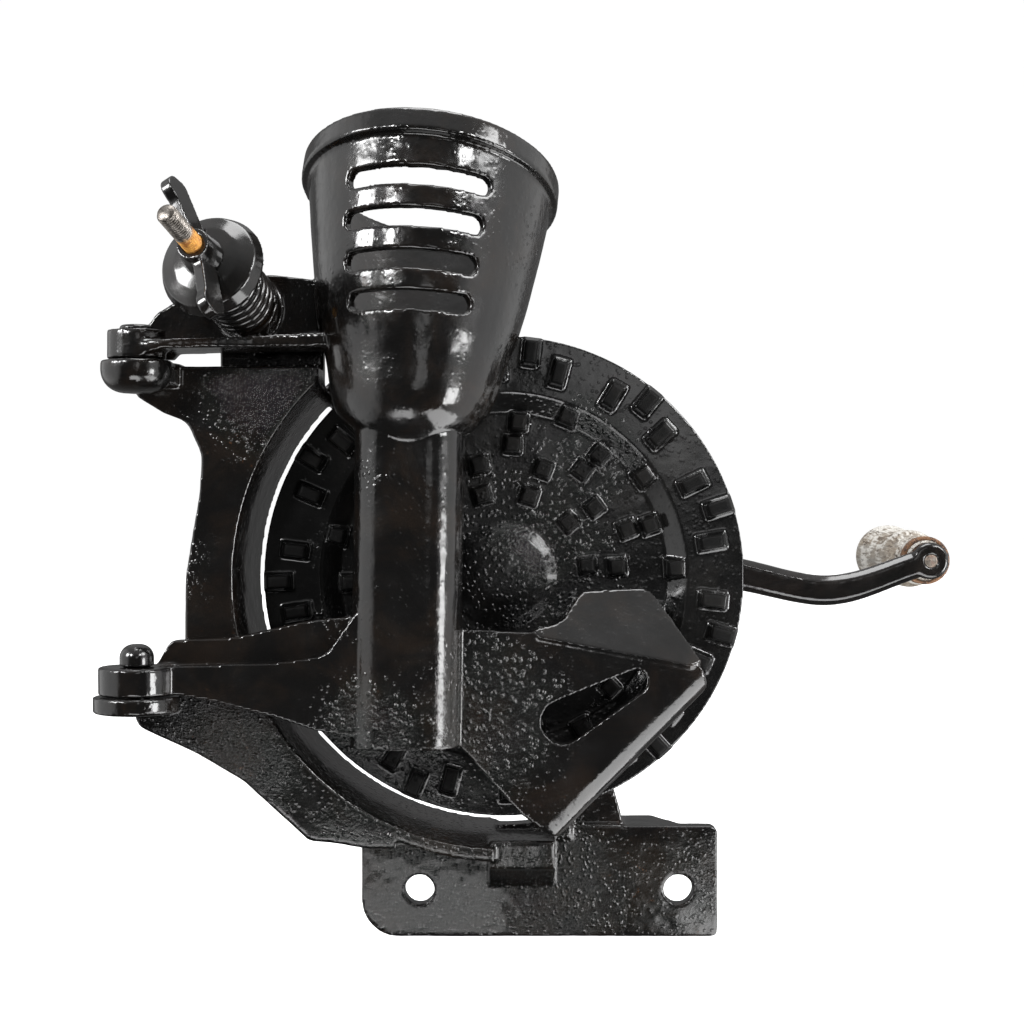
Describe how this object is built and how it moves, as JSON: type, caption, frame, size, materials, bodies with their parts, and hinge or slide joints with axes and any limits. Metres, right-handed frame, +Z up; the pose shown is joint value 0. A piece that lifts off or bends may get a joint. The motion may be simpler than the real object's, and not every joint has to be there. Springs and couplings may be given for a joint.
{
  "type": "hand crank corn sheller",
  "caption": "Hand crank corn sheller: toothed cast-iron disc on a crank shaft in a bolt-on frame, with a hinged slotted hopper and throat held in by a spring on a stud.",
  "frame": {"origin": "midway between the two mounting holes, on the back face of the mounting plate", "axes": "+X to the right as the box side sees it, towards the crank grip; +Y from the box side to the crank side, along the shaft; +Z up"},
  "size_m": [0.4408, 0.3136, 0.4043],
  "materials": {
    "casting_black": "glossy black enamel over rough sand-cast iron",
    "disc_black": "thin black enamel, worn on the teeth",
    "fastener_black": "glossy black enamel over steel",
    "spring_black": "black enamel over spring wire",
    "pin_steel": "oiled, browned steel",
    "spindle_steel": "worn steel",
    "ferrule_steel": "rust-browned steel band",
    "stud_steel": "bare steel thread with orange rust and grease",
    "weathered_wood": "weathered grey wood with worn white paint"
  },
  "bodies": {
    "frame": {"frame_casting": "casting_black", "hinge_pin_lower": "fastener_black", "hinge_pin_upper": "fastener_black", "tension_stud": "stud_steel", "stud_nut": "fastener_black", "tension_spring": "spring_black"},
    "rotor": {"shelling_disc": "disc_black", "disc_pin": "pin_steel", "drive_shaft": "pin_steel", "thrust_washer_front": "pin_steel", "thrust_washer_rear": "pin_steel", "crank_arm": "casting_black", "crank_washer": "fastener_black", "crank_nut": "fastener_black", "grip_spindle": "spindle_steel", "grip_washer": "spindle_steel"},
    "grip": {"crank_grip": "weathered_wood", "grip_ferrule": "ferrule_steel"},
    "hopper": {"hopper_casting": "casting_black"},
    "cup": {"spring_cup": "fastener_black"},
    "wing": {"wing_nut": "fastener_black"}
  },
  "joints": [
    {"name": "crank_turn", "type": "hinge", "parent": "frame", "child": "rotor", "pos_m": [-0.0227, -0.02, 0.159], "axis": [0, 1, 0], "continuous": true},
    {"name": "grip_spin", "type": "hinge", "parent": "rotor", "child": "grip", "pos_m": [0.2053, 0.08, 0.1648], "axis": [0, 1, 0], "continuous": true},
    {"name": "hopper_swing", "type": "hinge", "parent": "frame", "child": "hopper", "pos_m": [-0.1967, -0.065, 0.159], "axis": [0, 0, -1], "range_deg": [0, 8], "stiffness_Nm_per_rad": 15, "springref_deg": -10.31, "deforming": ["tension_spring"]},
    {"name": "tension_travel", "type": "slide", "parent": "frame", "child": "cup", "axis": [-0.2236, -0.9231, 0.3128], "range_m": [-0.008, 0.008], "deforming": ["tension_spring"]},
    {"name": "wing_turn", "type": "hinge", "parent": "cup", "child": "wing", "pos_m": [-0.15874, -0.09985, 0.30686], "axis": [-0.2236, -0.9231, 0.3128], "range_deg": [-1800, 1800]}
  ],
  "couplings": [
    {"joint": "tension_travel", "follows": "wing_turn", "m_per_rad": 0.00025266}
  ]
}
